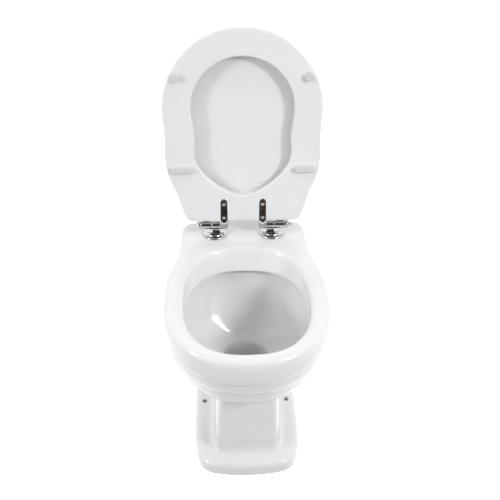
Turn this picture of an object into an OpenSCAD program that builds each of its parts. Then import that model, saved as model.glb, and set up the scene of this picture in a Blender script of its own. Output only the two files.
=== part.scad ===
// Close coupled toilet pan with its seat, lid and top-fixed hinges. Millimetres, +Z up.
// The origin is on the floor, under the middle of the footprint. The front is towards -Y.
// The seat and the lid are drawn raised, leaning back on their stops.

/* [Pan] */
// Height of the rim and of the deck above the floor
rim_h = 406; // [390:1:420]
// Distance from the front of the rim to the middle of the part
half_depth = 330; // [325:1:335]
// Half width of the rim at its widest
rim_half_w = 176.5; // [174:0.5:178]
// Depth of the band that runs round the rim
band_h = 59; // [56:1:60]
// Height of the foot slab
foot_h = 33; // [32:0.5:34]
// Half width of the foot slab
foot_half_w = 123; // [121:1:125]
// Thickness of the china
wall = 10; // [9:0.5:11]
// Radius of the two floor fixing holes
floor_hole_r = 6.2; // [5:0.1:7]
// Distance of each floor fixing hole from the centre line
floor_hole_x = 100.5; // [98:0.5:102]

/* [Waste and flush] */
// Radius of the water way through the trap
trap_r = 38; // [34:1:40]
// Outside radius of the outlet spigot
spigot_r = 51; // [50:0.5:55]
// Height of the middle of the outlet above the floor
outlet_h = 185; // [180:1:190]
// Radius of the flush inlet in the cistern shelf
inlet_r = 30; // [26:0.5:32]
// Radius of the cistern bolt holes
cistern_hole_r = 7; // [6:0.5:8]
// Distance of each cistern bolt hole from the centre line
cistern_hole_x = 75; // [70:1:80]

/* [Seat and lid] */
// How far the seat and the lid are raised from closed, in degrees
open_angle = 100; // [95:1:105]
// Height of the hinge axis above the deck
axis_h = 25; // [24:0.5:27]
// Distance of the hinge axis behind the middle of the part
axis_y = 119; // [117:1:121]
// Thickness of the seat
seat_t = 18; // [16:0.5:18]
// Drop from the hinge axis to the seat's underside when closed
seat_drop = 14; // [13:0.5:14]
// Gap between the closed seat and the lid
lid_gap = 3; // [2.5:0.5:4]
// Thickness of the lid at its edge
lid_t = 14; // [12:0.5:14]
// Depth of the recess in the lid's underside
lid_dish = 6; // [4:0.5:7]
// How much smaller than the seat the lid is all round
lid_inset = 5; // [4:0.5:6]

/* [Hinges] */
// Radius of the hinge barrels
barrel_r = 9.5; // [9:0.25:10]
// Radius of the hinge pins
pin_r = 4; // [3.5:0.25:4.5]
// Radius of the round cover plates
rosette_r = 28; // [27:0.5:29]
// Distance of each fixing bolt from the centre line
bolt_x = 77.5; // [76:0.5:79]
// Radius of the fixing bolts
bolt_r = 4; // [3:0.5:4]
// Travel of the release button
button_travel = 2.5; // [2:0.1:3]

/* [Hidden] */
$fn = 48;
eps = 0.01;

china_white = "white";
lacquer_white = "whitesmoke";
chrome = "silver";
clear_rubber = "gainsboro";
black_rubber = "dimgray";

function mix(a, b, t) = a + (b - a) * t;
function ease(t) = let (u = max(0, min(1, t))) u * u * (3 - 2 * u);
function mirrored(half) = concat(half, [for (i = [len(half) - 2 : -1 : 1]) [-half[i][0], half[i][1]]]);

// A smooth curve through points, in steps pieces between each two.
function spline(p, steps) = concat(
    [for (i = [0 : len(p) - 2], k = [0 : steps - 1])
        let (a = p[max(i - 1, 0)], b = p[i], c = p[i + 1], d = p[min(i + 2, len(p) - 1)], t = k / steps)
        (2 * b + (c - a) * t + (2 * a - 5 * b + 4 * c - d) * t * t
            + (3 * b - a - 3 * c + d) * t * t * t) / 2],
    [p[len(p) - 1]]);

// ---- Pan ----------------------------------------------------------------------------

// Directions of a section's corners, closest together where the foot, the column and the deck turn.
quarter = [0, 10, 20, 30, 39, 47, 54, 59, 63, 66, 70, 76, 83, 90];
half_turn = concat(quarter, [for (i = [len(quarter) - 2 : -1 : 1]) 180 - quarter[i]]);
around = concat(half_turn, [for (a = half_turn) a + 180]);
ring_n = len(around);
// The sides ease in to the narrower deck between these two places.
waist_from = -70;
waist_to = 75;
deck_waist = 0.146;
deck_rear = 180;
deck_under = rim_h - band_h;

// A level section is [height, front, rear, half width, widest place, nose power, tail power, waist, bow].
// The powers go from 2 for an ellipse to about 10 for a rounded rectangle. The waist is the part
// of the width that the deck loses, and the bow is how far the front falls back at its ends.
function section(s) = [for (a = around)
    let (
         nose = sin(a) < 0,
         reach = nose ? s[4] - s[1] : s[2] - s[4],
         power = nose ? s[5] : s[6],
         r = pow(pow(abs(cos(a)) / s[3], power) + pow(abs(sin(a)) / reach, power), -1 / power),
         y = s[4] + r * sin(a) + (nose ? s[8] * pow(r * cos(a) / s[3], 2) : 0),
         narrow = 1 - s[7] * ease((y - waist_from) / (waist_to - waist_from)))
    [r * cos(a) * narrow, y, s[0]]];

function plan(s) = [for (p = section(s)) [p[0], p[1]]];

foot_front = 64 - half_depth;
foot_rear = 135;
panel_front = 104 - half_depth;
column_rear = 112;

function foot_row(z, front_in, side_in) =
    [z, foot_front + front_in, foot_rear - side_in, foot_half_w - side_in, -20, 7, 8, 0, 16];
function column_row(z, half_w, out = 0) =
    [z, panel_front - out, column_rear + out, half_w + out, -57, 12, 10, 0, 0];
function rim_row(drop, inset) =
    [rim_h - drop, inset - half_depth, deck_rear - inset, rim_half_w - inset, -153, 2.08, 16, deck_waist, 0];

foot_rows = [
    foot_row(0, 1, 1), foot_row(2, 0, 0), foot_row(20, 0, 0), foot_row(27, 2, 4),
    foot_row(31, 6, 10), foot_row(foot_h, 12, 18)];
column_rows = [
    column_row(foot_h + 1, 79, 8), column_row(foot_h + 4, 79, 3), column_row(foot_h + 11, 79),
    column_row(120, 74.5), column_row(205, 70)];
// The underside of the bowl, the small bead, and the belly above it up to the band.
belly_rows = [
    [216, -228, 112, 76, -62, 8, 9, 0, 0], [224, -233, 110, 87, -85, 4.5, 8, 0, 0],
    [232, -246, 102, 102, -105, 3, 6, 0, 0], [240, -264, 84, 118, -120, 2.4, 4, 0, 0],
    [248, -279, 62, 132, -130, 2.1, 3, 0, 0], [255, -288, 54, 142, -136, 2, 2.6, 0, 0],
    [265, -294, 50, 151, -142, 2, 2.4, 0, 0], [280, -298, 46, 157, -149, 2, 2.3, 0, 0],
    [295, -302, 44, 160, -154, 2, 2.3, 0, 0], [299, -307, 44, 163, -155, 2, 2.3, 0, 0],
    [312, -313, 48, 166, -158, 2, 2.3, 0, 0], [326, -317, 52, 169, -160, 2, 2.3, 0, 0],
    [338, -319, 56, 170, -161, 2, 2.3, 0, 0], [deck_under, -319, 60, 170, -161, 2, 2.3, 0, 0]];
rim_rows = [
    rim_row(band_h, 4), rim_row(band_h - 3, 2), rim_row(48, 0.5), rim_row(35, 0), rim_row(18, 0),
    rim_row(9, 1.5), rim_row(4, 5), rim_row(1, 10), rim_row(0, 16)];
// The inside: the lip of the rim, the flush channel behind it, and the bowl down to the sump.
inside_rows = [
    [rim_h, -304, 64, 141, -120, 2.5, 2.5, 0, 0],
    [rim_h - 1.5, -300, 60, 137, -120, 2.5, 2.5, 0, 0],
    [rim_h - 6, -297, 56, 134.5, -120, 2.5, 2.5, 0, 0], [rim_h - 28, -294, 46, 133, -124, 2.5, 2.5, 0, 0],
    [rim_h - 47, -291, 34, 131, -128, 2.5, 2.5, 0, 0], [rim_h - 50, -293, 36, 133, -128, 2.5, 2.5, 0, 0],
    [rim_h - 49, -299, 43, 139, -128, 2.5, 2.5, 0, 0], [rim_h - 20, -303, 60, 143, -126, 2.5, 2.5, 0, 0],
    [rim_h - 18, -317, 76, 164, -145, 2.1, 2.5, 0, 0], [rim_h - 48, -313, 58, 161, -145, 2.1, 2.5, 0, 0],
    [340, -309, 46, 159, -148, 2.1, 2.4, 0, 0], [320, -306, 38, 157, -148, 2.1, 2.3, 0, 0],
    [300, -298, 28, 151, -144, 2.1, 2.3, 0, 0], [280, -287, 15, 145, -138, 2.1, 2.3, 0, 0],
    [262, -272, 1, 133, -128, 2.1, 2.4, 0, 0], [249, -251, -10, 113, -117, 2.2, 2.4, 0, 0],
    [237, -226, -19, 90, -106, 2.3, 2.5, 0, 0], [227, -202, -25, 70, -98, 2.5, 2.5, 0, 0],
    [218, -182, -29, 58, -95, 2.5, 2.5, 0, 0]];
skin_rows = concat(foot_rows, column_rows, belly_rows, rim_rows, inside_rows);

module skin() {
    last = (len(skin_rows) - 1) * ring_n;
    first = skin_rows[0];
    final = skin_rows[len(skin_rows) - 1];
    centre = ring_n * len(skin_rows);
    points = concat([for (s = skin_rows) each section(s)],
                    [[0, first[4], first[0]], [0, final[4], final[0]]]);
    sides = [for (i = [0 : len(skin_rows) - 2], k = [0 : ring_n - 1])
        let (a = i * ring_n + k, b = i * ring_n + (k + 1) % ring_n)
        each [[a, a + ring_n, b + ring_n], [a, b + ring_n, b]]];
    floor_cap = [for (k = [0 : ring_n - 1]) [centre, k, (k + 1) % ring_n]];
    bowl_cap = [for (k = [0 : ring_n - 1]) [centre + 1, last + (k + 1) % ring_n, last + k]];
    polyhedron(points, concat(floor_cap, sides, bowl_cap));
}

// The sump under the bowl, widened by grow for its outside.
sump_y = -105;
module sump(grow = 0) {
    translate([0, sump_y, 90 - grow]) cylinder(h = 128 + grow + 1, r1 = trap_r + 4 + grow, r2 = 55 + grow);
    translate([0, sump_y, 90]) sphere(r = trap_r + 4 + grow);
}

// The water way: under the dip, up to the weir, and down to the outlet.
trap_path = [[0, sump_y + 20, 88], [0, -2, 88], [0, 62, 212], [0, 150, outlet_h]];
module rod(a, b, r) {
    v = b - a;
    translate(a) rotate([0, acos(v[2] / norm(v)), atan2(v[1], v[0])]) cylinder(h = norm(v), r = r);
}
module trap(r) {
    for (i = [0 : len(trap_path) - 2]) rod(trap_path[i], trap_path[i + 1], r);
    for (i = [1 : len(trap_path) - 1]) translate(trap_path[i]) sphere(r = r);
}
module along_y(from, to, x, z, r) {
    translate([x, from, z]) rotate([-90, 0, 0]) cylinder(h = to - from, r = r);
}
module along_x(from, to, r) {
    translate([from, 0, 0]) rotate([0, 90, 0]) cylinder(h = to - from, r = r);
}

// The hollows that open under the foot, with a boss left round each floor fixing hole.
floor_hole_y = -64;
module foot_hollow() {
    translate([0, 0, -1]) linear_extrude(203)
        polygon(plan([0, panel_front + wall, column_rear - wall, 70 - wall, -57, 12, 10, 0, 0]));
    difference() {
        translate([0, 0, -1]) linear_extrude(foot_h - wall)
            polygon(plan([0, foot_front + wall + 2, foot_rear - wall, foot_half_w - wall - 4,
                          -20, 7, 8, 0, 16]));
        for (x = [-floor_hole_x, floor_hole_x])
            translate([x, floor_hole_y, -2]) cylinder(h = foot_h + 2, r = floor_hole_r + 9);
    }
}

shelf_half_w = 115;
shelf_t = 34;
shelf_front = 140;
shelf_corner = 18;
inlet_y = 255;
module shelf() {
    translate([0, 0, rim_h - shelf_t]) linear_extrude(shelf_t) union() {
        translate([-shelf_half_w, shelf_front])
            square([2 * shelf_half_w, half_depth - shelf_corner - shelf_front]);
        translate([shelf_corner - shelf_half_w, shelf_front])
            square([2 * (shelf_half_w - shelf_corner), half_depth - shelf_front]);
        for (x = [-1, 1])
            translate([x * (shelf_half_w - shelf_corner), half_depth - shelf_corner])
                circle(r = shelf_corner);
    }
    // The bulge under the shelf that carries the flush water forward.
    translate([-46, 90, deck_under]) cube([92, inlet_y - 44, band_h - 10]);
    translate([0, inlet_y, deck_under]) cylinder(h = band_h - 10, r = 46);
    // Two ribs that carry the shelf on the trap.
    for (x = [-40, 30]) translate([x, 0, 0]) rotate([90, 0, 90]) linear_extrude(10)
        polygon([[70, 240], [170, 225], [300, 350], [300, deck_under + 30], [60, deck_under + 30]]);
}
module flush_way() {
    translate([-34, 66, rim_h - 45]) cube([68, inlet_y - 66, 33]);
    translate([0, inlet_y, rim_h - 45]) cylinder(h = 33, r = 34);
}

// The cast body, as one faceted skin.
module casting() {
    resize([0, 0, 0]) difference() {
        union() {
            difference() {
                skin();
                foot_hollow();
            }
            sump(wall);
            trap(trap_r + wall, $fn = 24);
            shelf($fn = 32);
        }
        sump();
        trap(trap_r, $fn = 24);
        flush_way();
    }
}
module pan() {
    color(china_white) difference() {
        union() {
            casting();
            along_y(140, half_depth - 79, 0, outlet_h, spigot_r - 2);
            along_y(half_depth - 80, half_depth, 0, outlet_h, spigot_r);
        }
        along_y(150, half_depth + 1, 0, outlet_h, trap_r + 4);
        translate([0, inlet_y, rim_h - 20]) cylinder(h = 30, r = inlet_r);
        for (x = [-1, 1]) {
            translate([x * floor_hole_x, floor_hole_y, -1]) cylinder(h = foot_h + 4, r = floor_hole_r);
            translate([x * bolt_x, axis_y, deck_under - 1]) cylinder(h = band_h + 2, r = 8);
            translate([x * cistern_hole_x, inlet_y, deck_under]) cylinder(h = band_h + 2, r = cistern_hole_r);
        }
    }
}

// ---- Seat and lid -------------------------------------------------------------------
// Both are drawn closed, with the hinge axis along X through the origin, and then raised.

axis_z = rim_h + axis_h;
seat_top = seat_t - seat_drop;
lid_under = seat_top + lid_gap;

module raised() {
    translate([0, axis_y, axis_z]) rotate([-open_angle, 0, 0]) children();
}

// Half outlines as [half width, distance from the axis], from the tip to the rear.
nose_r = 178;
nose_at = 277;
seat_half = concat(
    [for (a = [0 : 6 : 84]) [nose_r * sin(a), nose_at + nose_r * cos(a)]],
    spline([[nose_r, nose_at], [175.4, 240], [174.5, 211], [176, 176], [173, 140],
            [164, 112], [152, 83], [143.5, 53], [137, 34]], 4),
    [for (a = [75 : -15 : 0]) [115 + 21 * sin(a), 36 - 21 * cos(a)]], [[0, 15]]);
hole_r = 115;
hole_at = 279;
hole_half = concat(
    [for (a = [0 : 6 : 84]) [hole_r * sin(a), hole_at + hole_r * cos(a)]],
    spline([[hole_r, hole_at], [113, 256], [109.3, 232], [108.2, 209], [109.6, 184],
            [106, 158], [92, 134], [66, 108], [31, 86], [0, 78]], 4));

module outline(half) { polygon([for (p = mirrored(half)) [p[0], -p[1]]]); }
module slab(t_from, t_to) { translate([0, 0, t_from]) linear_extrude(t_to - t_from) children(); }

strap_x = 45;
strap_half_w = 9.4;
strap_t = 3.8;
lid_strap_x = 87.5;
screw_at = [24, 57];
screw_r = 2;
strap_end = 62;

// A plate with a round end, running forward from under the barrel.
module strap_plan(x, grow = 0) {
    translate([x, -strap_end]) circle(r = strap_half_w + grow);
    translate([x - strap_half_w - grow, -strap_end]) square([2 * (strap_half_w + grow), strap_end + grow]);
}
module seat_band() {
    difference() {
        outline(seat_half);
        outline(hole_half);
    }
}
module seat() {
    edge = 2;
    color(lacquer_white) raised() difference() {
        union() {
            slab(-seat_drop, seat_top) offset(delta = -edge) seat_band();
            slab(-seat_drop + edge, seat_top - edge) seat_band();
        }
        for (x = [-strap_x, strap_x]) {
            slab(-seat_drop - 1, -seat_drop + strap_t - 0.4) strap_plan(x, 0.5);
            for (s = screw_at) translate([x, -s, -seat_drop]) cylinder(h = 13, r = screw_r + 0.05);
        }
    }
}
module lid() {
    edge = 4;
    color(lacquer_white) raised() difference() {
        union() {
            slab(lid_under, lid_under + lid_t) offset(delta = -lid_inset - edge) outline(seat_half);
            slab(lid_under, lid_under + lid_t - edge) offset(delta = -lid_inset) outline(seat_half);
        }
        slab(lid_under - 1, lid_under + lid_dish) intersection() {
            offset(delta = -lid_inset - 22) outline(seat_half);
            translate([-200, -500]) square([400, 424]);
        }
        for (x = [-lid_strap_x, lid_strap_x]) {
            slab(lid_under - 1, lid_under + strap_t) strap_plan(x, 0.5);
            for (s = screw_at) translate([x, -s, lid_under]) cylinder(h = 12, r = screw_r + 0.05);
        }
    }
}

// Buffers stand on the underside of the seat, and fill nearly all of its height above the rim.
buffer_h = axis_h - seat_drop - 0.4;
front_buffer = [145, 351];
rear_buffer = [141, 143];
lid_buffer = [154, 325];
module front_buffer(side) {
    color(clear_rubber) raised()
        translate([side * front_buffer[0], -front_buffer[1], -seat_drop - buffer_h]) {
        cylinder(h = 2, r1 = 7.5, r2 = 9.5);
        translate([0, 0, 2]) cylinder(h = buffer_h - 2, r = 9.5);
    }
}
module rear_buffer(side) {
    length = 48;
    width = 14;
    color(clear_rubber) raised()
        translate([side * rear_buffer[0], -rear_buffer[1], -seat_drop - buffer_h]) linear_extrude(buffer_h) {
            square([length - width, width], center = true);
            for (x = [-1, 1]) translate([x * (length - width) / 2, 0]) circle(r = width / 2);
        }
}
module lid_buffer(side) {
    color(clear_rubber) raised()
        translate([side * lid_buffer[0], -lid_buffer[1], seat_top + 0.3]) cylinder(h = lid_gap - 0.3, r = 6);
}

// ---- Hinges -------------------------------------------------------------------------
// Along the pin from the middle outwards: seat knuckle, pillar sleeve, lid knuckle, cap.

knuckle_from = 36;
sleeve_from = 54.7;
sleeve_to = 73.3;
lid_knuckle_from = 73.5;
lid_knuckle_to = 100;
cap_to = 108;
run_gap = 0.06;

module at_hinge() { translate([0, axis_y, axis_z]) children(); }
module side_of(side) { mirror([side < 0 ? 1 : 0, 0, 0]) children(); }

module seat_strap(side) {
    color(chrome) raised() side_of(side) difference() {
        union() {
            slab(-seat_drop - 0.6, -seat_drop + strap_t - 0.6) strap_plan(strap_x);
            along_x(knuckle_from, sleeve_from - 0.2, barrel_r);
            translate([knuckle_from - 0.2, -13, -seat_drop - 0.6]) cube([18.7, 13, seat_drop]);
        }
        along_x(knuckle_from - 1, sleeve_from + 1, pin_r + run_gap);
        for (s = screw_at) translate([strap_x, -s, -seat_drop - 1]) {
            cylinder(h = 6, r = screw_r + 0.05);
            cylinder(h = 2.6, r = 4.05);
        }
    }
}
module lid_strap(side) {
    color(chrome) raised() side_of(side) difference() {
        union() {
            slab(lid_under, lid_under + strap_t - 0.2) strap_plan(lid_strap_x);
            along_x(lid_knuckle_from, lid_knuckle_to, barrel_r);
            translate([lid_strap_x - strap_half_w, -13, 2])
                cube([2 * strap_half_w, 13, lid_under + strap_t - 2.2]);
        }
        along_x(lid_knuckle_from - 1, lid_knuckle_to + 1, pin_r + run_gap);
        for (s = screw_at) translate([lid_strap_x, -s, lid_under - 1]) {
            cylinder(h = 6, r = screw_r + 0.05);
            cylinder(h = 2.6, r = 4.05);
        }
    }
}
module screws(x, t) {
    for (side = [-1, 1], s = screw_at) translate([side * x, -s, t]) {
        cylinder(h = 1.4, r = 4);
        cylinder(h = 11.5, r = screw_r);
    }
}
module seat_strap_screws() { color(chrome) raised() screws(strap_x, -seat_drop - 0.5); }
module lid_strap_screws() { color(chrome) raised() screws(lid_strap_x, lid_under + 0.1); }

// Each pin is a rod with a head, and the right one is bored for the release button.
button_r = 2;
button_bore = 16;
module hinge_pin(side) {
    color(chrome) at_hinge() side_of(side) difference() {
        along_x(knuckle_from + 1, lid_knuckle_to + 4, pin_r);
        if (side > 0) along_x(lid_knuckle_to - button_bore, cap_to, button_r + run_gap);
    }
}
module hinge_cap(side) {
    color(chrome) at_hinge() side_of(side) difference() {
        union() {
            along_x(lid_knuckle_to + 0.2, cap_to - 2.5, barrel_r - 0.3);
            along_x(cap_to - 3, cap_to, barrel_r - 3);
        }
        along_x(lid_knuckle_to - 1, lid_knuckle_to + 4.1, pin_r + 0.02);
        if (side > 0) along_x(lid_knuckle_to - 1, cap_to + 1, button_r + run_gap);
    }
}
module release_button() {
    color(chrome) at_hinge() {
        along_x(lid_knuckle_to - button_bore + button_travel + 1, cap_to + 1, button_r);
        along_x(cap_to + button_travel + 0.2, cap_to + button_travel + 3, button_r + 1.2);
        along_x(cap_to + 0.5, cap_to + button_travel + 1, button_r);
    }
}

// The fixed part of each hinge, from the deck up.
rosette_x = 68;
pillar_x = 64;
gasket_t = 1.2;
base_t = 3;
base_r = 22;
boss_r = 5;
boss_h = 10;
rosette_h = 5;
base_z = rim_h + gasket_t;

module at_rosette(side, x = rosette_x, z = 0) { translate([side * x, axis_y, z]) children(); }

module base_gasket(side) {
    color(black_rubber) difference() {
        at_rosette(side, rosette_x, rim_h) cylinder(h = gasket_t, r = rosette_r - 1);
        at_rosette(side, bolt_x, rim_h - 1) cylinder(h = 5, r = bolt_r + 0.5);
    }
}
module hinge_base(side) {
    color(chrome) difference() {
        union() {
            at_rosette(side, rosette_x, base_z) cylinder(h = base_t, r = base_r);
            at_rosette(side, pillar_x, base_z) cylinder(h = boss_h, r = boss_r);
        }
        at_rosette(side, bolt_x, base_z - 1) cylinder(h = base_t + 2, r = bolt_r + 0.1);
        at_rosette(side, bolt_x, base_z + 1) cylinder(h = base_t, r = bolt_r + 2.2);
    }
}
module rosette(side) {
    color(chrome) at_rosette(side, rosette_x, base_z) difference() {
        rotate_extrude() polygon([
            [0, 0], [rosette_r, 0], [rosette_r, 1.2], [rosette_r - 1, 2.2], [rosette_r - 5, 3.2],
            [rosette_r - 7, 4.4], [rosette_r - 11, rosette_h], [0, rosette_h]]);
        translate([0, 0, -1]) cylinder(h = base_t + 1.2, r = base_r + 0.3);
        translate([side * (pillar_x - rosette_x), 0, -1]) cylinder(h = rosette_h + 2, r = boss_r + 4.2);
    }
}
module hinge_pillar(side) {
    hub = [[45, 85], [axis_y - 10, axis_y + 10]];
    hub_z = base_z + rosette_h;
    neck_z = axis_z - hub_z;
    color(chrome) difference() {
        union() {
            side_of(side) {
                translate([hub[0][0] + 10, hub[1][0], hub_z]) cube([20, 20, 2.4]);
                for (x = [hub[0][0] + 10, hub[0][1] - 10])
                    translate([x, axis_y, hub_z]) cylinder(h = 2.4, r = 10);
                translate([sleeve_from, axis_y - 7, hub_z]) cube([sleeve_to - sleeve_from, 14, neck_z]);
                at_hinge() along_x(sleeve_from, sleeve_to, barrel_r);
            }
            at_rosette(side, pillar_x, base_z + base_t) cylinder(h = rosette_h, r = boss_r + 4);
        }
        at_rosette(side, pillar_x, base_z + base_t - 1)
            cylinder(h = boss_h - base_t + 1.3, r = boss_r + 0.05);
        at_hinge() side_of(side) along_x(sleeve_from - 1, sleeve_to + 1, pin_r + 0.02);
    }
}

// The fixings under the deck: a top hat bush in each hole, and a wing nut.
bush_flange = 3.5;
nut_h = 8;
module fixing_bolt(side) {
    color(chrome) {
        at_rosette(side, bolt_x, base_z + 1.05) cylinder(h = base_t - 1.1, r = bolt_r + 2.1);
        at_rosette(side, bolt_x, deck_under - 24) cylinder(h = base_z + 2 - deck_under + 24, r = bolt_r);
    }
}
module deck_bush(side) {
    color(black_rubber) difference() {
        union() {
            at_rosette(side, bolt_x, deck_under - bush_flange) cylinder(h = bush_flange, r = 15);
            at_rosette(side, bolt_x, deck_under - 1) cylinder(h = 21, r = 7.8);
        }
        at_rosette(side, bolt_x, deck_under - 10) cylinder(h = 40, r = bolt_r + 0.1);
    }
}
module wing_nut(side) {
    top = deck_under - bush_flange;
    color(clear_rubber) difference() {
        union() {
            at_rosette(side, bolt_x, top - nut_h) cylinder(h = nut_h, r = 9);
            translate([side * bolt_x - 18, axis_y - 2, top - nut_h - 4]) cube([36, 4, nut_h + 1]);
        }
        at_rosette(side, bolt_x, top - 20) cylinder(h = 30, r = bolt_r + 0.05);
    }
}

pan();
seat();
lid();
front_buffer(-1);  // seat_front_buffer_left
front_buffer(1);  // seat_front_buffer_right
rear_buffer(-1);  // seat_rear_buffer_left
rear_buffer(1);  // seat_rear_buffer_right
lid_buffer(-1);  // lid_buffer_left
lid_buffer(1);  // lid_buffer_right
seat_strap(-1);  // seat_strap_left
seat_strap(1);  // seat_strap_right
lid_strap(-1);  // lid_strap_left
lid_strap(1);  // lid_strap_right
seat_strap_screws();
lid_strap_screws();
hinge_pillar(-1);  // hinge_pillar_left
hinge_pillar(1);  // hinge_pillar_right
hinge_pin(-1);  // hinge_pin_left
hinge_pin(1);  // hinge_pin_right
hinge_cap(-1);  // hinge_cap_left
hinge_cap(1);  // hinge_cap_right
release_button();
rosette(-1);  // rosette_left
rosette(1);  // rosette_right
hinge_base(-1);  // hinge_base_left
hinge_base(1);  // hinge_base_right
base_gasket(-1);  // base_gasket_left
base_gasket(1);  // base_gasket_right
fixing_bolt(-1);  // fixing_bolt_left
fixing_bolt(1);  // fixing_bolt_right
deck_bush(-1);  // deck_bush_left
deck_bush(1);  // deck_bush_right
wing_nut(-1);  // wing_nut_left
wing_nut(1);  // wing_nut_right
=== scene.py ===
import math

import bmesh
import bpy
from mathutils import Matrix, Vector


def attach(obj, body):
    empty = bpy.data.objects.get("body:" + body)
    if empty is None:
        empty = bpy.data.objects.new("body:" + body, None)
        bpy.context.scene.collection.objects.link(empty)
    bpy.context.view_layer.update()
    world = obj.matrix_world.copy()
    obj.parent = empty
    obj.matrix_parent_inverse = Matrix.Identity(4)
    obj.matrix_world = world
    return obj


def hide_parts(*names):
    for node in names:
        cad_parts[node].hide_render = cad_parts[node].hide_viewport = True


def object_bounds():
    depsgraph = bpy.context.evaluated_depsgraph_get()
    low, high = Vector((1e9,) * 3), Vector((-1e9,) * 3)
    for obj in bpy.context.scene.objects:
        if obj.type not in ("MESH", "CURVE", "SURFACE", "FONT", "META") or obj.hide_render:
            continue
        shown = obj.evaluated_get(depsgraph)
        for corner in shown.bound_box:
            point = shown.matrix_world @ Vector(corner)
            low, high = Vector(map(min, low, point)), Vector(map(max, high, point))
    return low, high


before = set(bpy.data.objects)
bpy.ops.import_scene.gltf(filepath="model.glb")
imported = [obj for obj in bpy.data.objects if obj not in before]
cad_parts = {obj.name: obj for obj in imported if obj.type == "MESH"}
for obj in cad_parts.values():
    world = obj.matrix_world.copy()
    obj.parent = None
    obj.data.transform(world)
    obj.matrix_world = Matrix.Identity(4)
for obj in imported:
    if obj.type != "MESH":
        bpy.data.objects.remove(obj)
cad_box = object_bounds()

MM = 0.001

# ---------------------------------------------------------------- dimensions, millimetres
RIM_H = 406.0
DECK_UNDER = 347.0
AXIS = Vector((0.0, 119.0, 431.0))
OPEN_ANGLE = math.radians(100)
SEAT_UNDER, SEAT_TOP = -14.0, 4.0
LID_UNDER, LID_TOP, LID_DISH, LID_INSET = 7.0, 21.0, 6.0, 5.0


# ---------------------------------------------------------------- small mesh tools
WELD = 1e-6  # metres: points closer together than this become one
POINT_R = 0.001  # millimetres: the least radius of a turned ring


def add_object(name, data):
    obj = bpy.data.objects.new(name, data)
    bpy.context.scene.collection.objects.link(obj)
    return obj


def shade(bm, angle):
    """Shades a mesh smooth, but for its edges above an angle in degrees."""
    for face in bm.faces:
        face.smooth = True
    for edge in bm.edges:
        edge.smooth = len(edge.link_faces) != 2 or edge.calc_face_angle(0) <= math.radians(angle)


def new_object(name, verts, faces, matrix=None, smooth=40):
    """A piece from points in millimetres, shaded smooth up to an edge angle."""
    mesh = bpy.data.meshes.new(name)
    points = [Vector(v) for v in verts]
    if matrix is not None:
        points = [matrix @ p for p in points]
    mesh.from_pydata([p * MM for p in points], [], faces)
    bm = bmesh.new()
    bm.from_mesh(mesh)
    bmesh.ops.remove_doubles(bm, verts=bm.verts, dist=WELD)
    bmesh.ops.recalc_face_normals(bm, faces=bm.faces)
    shade(bm, smooth)
    bm.to_mesh(mesh)
    bm.free()
    return add_object(name, mesh)


def loft(rings, close_profile=False, cap_start=False, cap_end=False):
    """Quads through rings of equal length. Returns points and faces."""
    n = len(rings[0])
    verts = [p for ring in rings for p in ring]
    faces = []
    count = len(rings) if close_profile else len(rings) - 1
    for i in range(count):
        j = (i + 1) % len(rings)
        for k in range(n):
            m = (k + 1) % n
            faces.append((i * n + k, i * n + m, j * n + m, j * n + k))
    if cap_start:
        faces.append(tuple(reversed(range(n))))
    if cap_end:
        faces.append(tuple((len(rings) - 1) * n + k for k in range(n)))
    return verts, faces


def circle(radius, segments):
    return [(radius * math.cos(2 * math.pi * k / segments), radius * math.sin(2 * math.pi * k / segments))
            for k in range(segments)]


def at_height(loop, z):
    return [(x, y, z) for x, y in loop]


def lathe(name, profile, matrix, segments=64, smooth=35, caps=True):
    """A turned piece: profile is [(radius, height)], spun about the local Z axis."""
    rings = [at_height(circle(max(r, POINT_R), segments), h) for r, h in profile]
    verts, faces = loft(rings, cap_start=caps, cap_end=caps)
    return new_object(name, verts, faces, matrix, smooth)


def inset(outline, distance):
    """An outline moved inwards along its own normals."""
    if abs(distance) < 1e-9:
        return list(outline)
    n = len(outline)
    result = []
    for k in range(n):
        ax, ay = outline[k - 1]
        bx, by = outline[(k + 1) % n]
        tx, ty = bx - ax, by - ay
        size = math.hypot(tx, ty) or 1.0
        x, y = outline[k]
        result.append((x - ty / size * distance, y + tx / size * distance))
    return result


def arc_steps(radius, steps):
    """A rounded edge as [(distance in from the side, distance from the face)]."""
    turns = [math.pi / 2 * i / steps for i in range(steps + 1)]
    return [(radius * (1 - math.sin(a)), radius * (1 - math.cos(a))) for a in turns]


def edge_rings(outline, level, up, radius, steps, out=1):
    """Rings of a rounded edge, from the face at level to the side. up is 1 where the side rises
    from the face and -1 where it drops, and out is -1 round a hole."""
    return [at_height(inset(outline, out * d), level + up * h) for d, h in arc_steps(radius, steps)]


def flatten_normals(obj):
    """Keeps the wide flat faces of a piece flat beside its rounded edges."""
    normals = obj.modifiers.new("normals", "WEIGHTED_NORMAL")
    normals.keep_sharp = True
    normals.weight = 80


def rounded_prism(name, outline, low, high, radius, matrix, steps=4, smooth=35):
    """An extruded outline (counter-clockwise) whose edges are rounded."""
    rings = edge_rings(outline, low, 1, radius, steps)
    rings += reversed(edge_rings(outline, high, -1, radius, steps))
    verts, faces = loft(rings, cap_start=True, cap_end=True)
    prism = new_object(name, verts, faces, matrix, smooth)
    flatten_normals(prism)
    return prism


def cylinder_cutter(name, centre, radius, low, high, segments=64):
    place = Matrix.Translation((centre[0], centre[1], 0))
    return lathe(name, [(radius, low), (radius, high)], place, segments)


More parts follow.
